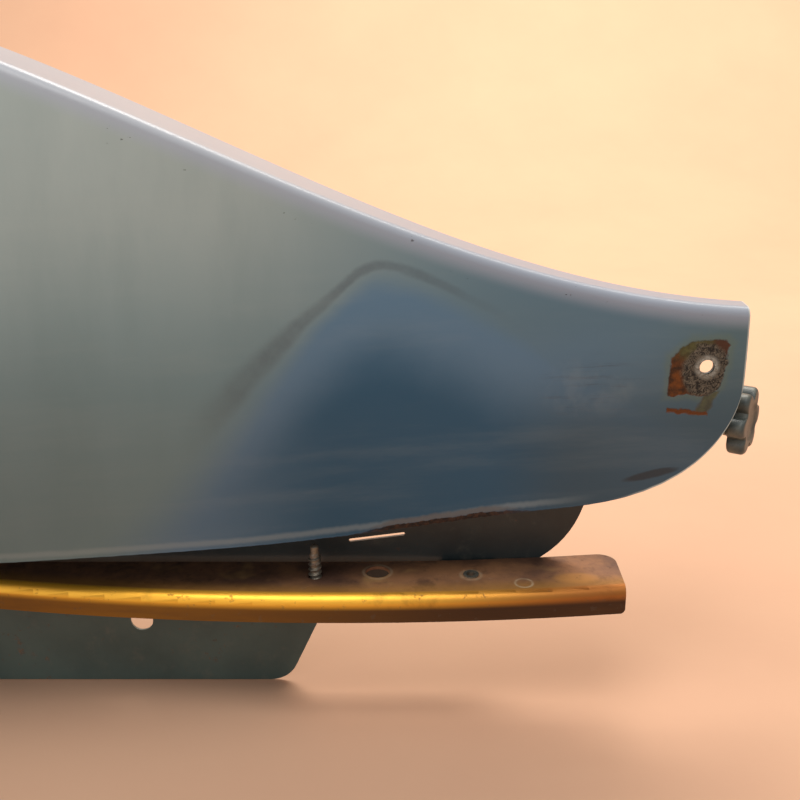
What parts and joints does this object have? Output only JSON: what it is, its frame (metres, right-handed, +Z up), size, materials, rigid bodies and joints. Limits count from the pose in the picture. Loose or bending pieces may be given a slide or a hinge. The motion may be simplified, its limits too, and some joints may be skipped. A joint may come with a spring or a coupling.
{
  "type": "side cowl",
  "caption": "Teardrop sheet-steel side cowl that swings up on a front pivot, with its side plate, angled support rail and lobed tail clamp knob.",
  "frame": {"origin": "centre of the four plate bolts, on the inner face of the side plate", "axes": "+X along the cowl towards its tail, +Z up, the outer skin faces -Y"},
  "size_m": [0.6329, 0.1116, 0.3343],
  "materials": {
    "cowl_paint": "gloss",
    "inner_paint": "satin",
    "plate_paint": "satin",
    "rail_metal": "satin",
    "zinc_steel": "satin",
    "rusty_steel": "matt",
    "knob_paint": "satin",
    "brass_insert": "satin",
    "buffer_rubber": "matt"
  },
  "bodies": {
    "frame": {"inner_side_plate": "plate_paint", "support_rail": "rail_metal", "rail_brackets": "plate_paint", "rail_rivets": "zinc_steel", "rail_screw": "rusty_steel", "lower_skirt": "cowl_paint", "skirt_spacer": "zinc_steel", "frame_washers": "zinc_steel", "frame_bolts": "zinc_steel", "frame_nuts": "zinc_steel", "strut_bolts": "zinc_steel", "strut_nuts": "zinc_steel", "pivot_doubler": "plate_paint", "pivot_spacer": "zinc_steel", "pivot_bolt": "zinc_steel", "pivot_washer": "zinc_steel", "pivot_nut": "zinc_steel", "top_buffers": "buffer_rubber", "buffer_screws": "zinc_steel", "rear_strut": "plate_paint", "clamp_stud": "zinc_steel"},
    "cowl": {"cowl_skin": "cowl_paint", "tail_doubler": "inner_paint", "cowl_ribs": "inner_paint", "pivot_channel": "inner_paint", "pivot_bush": "brass_insert", "keeper_fork": "inner_paint"},
    "clamp_washer": {"knob_washer": "zinc_steel"},
    "knob": {"hand_knob": "knob_paint", "knob_insert": "brass_insert"}
  },
  "joints": [
    {"name": "cowl_swing", "type": "hinge", "parent": "frame", "child": "cowl", "pos_m": [-0.2, -0.0015, -0.04], "axis": [0, -1, 0], "range_deg": [0, 45]},
    {"name": "knob_travel", "type": "slide", "parent": "frame", "child": "clamp_washer", "axis": [0.866, -0.5, 0], "range_m": [0, 0.0019]},
    {"name": "knob_turn", "type": "hinge", "parent": "clamp_washer", "child": "knob", "pos_m": [0.3572, 0.0085, -0.0335], "axis": [0.866, -0.5, 0], "range_deg": [0, 540]}
  ],
  "couplings": [
    {"joint": "knob_travel", "follows": "knob_turn", "m_per_rad": 0.00019894}
  ]
}
